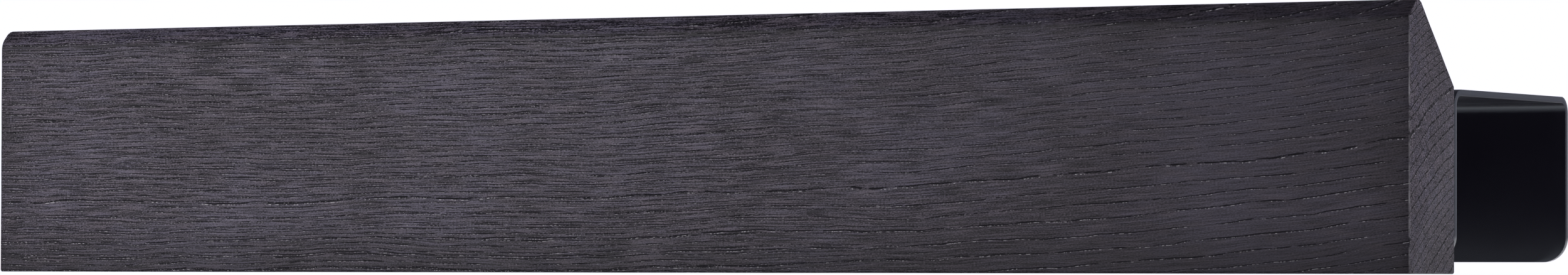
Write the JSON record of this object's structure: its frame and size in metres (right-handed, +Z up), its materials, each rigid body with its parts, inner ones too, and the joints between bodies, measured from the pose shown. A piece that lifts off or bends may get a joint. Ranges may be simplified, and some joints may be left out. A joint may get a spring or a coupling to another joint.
{
  "type": "magnetic knife rack",
  "caption": "Black-stained oak bar with hidden disc magnets that hold blades to its front, screwed to a folded sheet-steel hook that drops over the top edge of a board or panel.",
  "frame": {"origin": "on the underside of the hook's web, where it rests on the edge it hangs from, midway along it and midway between the legs", "axes": "+X along the bar, +Y from the bar towards the hook's back leg so that -Y is the front that blades cling to, +Z up"},
  "size_m": [0.4, 0.0963, 0.063],
  "materials": {
    "black_stained_oak": "black stain, matt, open pores",
    "black_powder_coat": "black powder coat, satin to gloss",
    "nickel_plated_magnet": "bright nickel plating",
    "plain_oak": "raw, sanded",
    "black_zinc_screw": "black zinc plating"
  },
  "bodies": {
    "root": {"oak_bar": "black_stained_oak", "steel_hook": "black_powder_coat", "magnet_01": "nickel_plated_magnet", "magnet_02": "nickel_plated_magnet", "magnet_03": "nickel_plated_magnet", "magnet_04": "nickel_plated_magnet", "magnet_05": "nickel_plated_magnet", "magnet_06": "nickel_plated_magnet", "magnet_07": "nickel_plated_magnet", "magnet_08": "nickel_plated_magnet", "magnet_09": "nickel_plated_magnet", "magnet_10": "nickel_plated_magnet", "oak_plug_01": "plain_oak", "oak_plug_02": "plain_oak", "oak_plug_03": "plain_oak", "oak_plug_04": "plain_oak", "oak_plug_05": "plain_oak", "oak_plug_06": "plain_oak", "oak_plug_07": "plain_oak", "oak_plug_08": "plain_oak", "oak_plug_09": "plain_oak", "oak_plug_10": "plain_oak", "hook_screw_1": "black_zinc_screw", "hook_screw_2": "black_zinc_screw", "hook_screw_3": "black_zinc_screw", "hook_screw_4": "black_zinc_screw", "hook_screw_5": "black_zinc_screw", "hook_screw_6": "black_zinc_screw"}
  },
  "joints": []
}
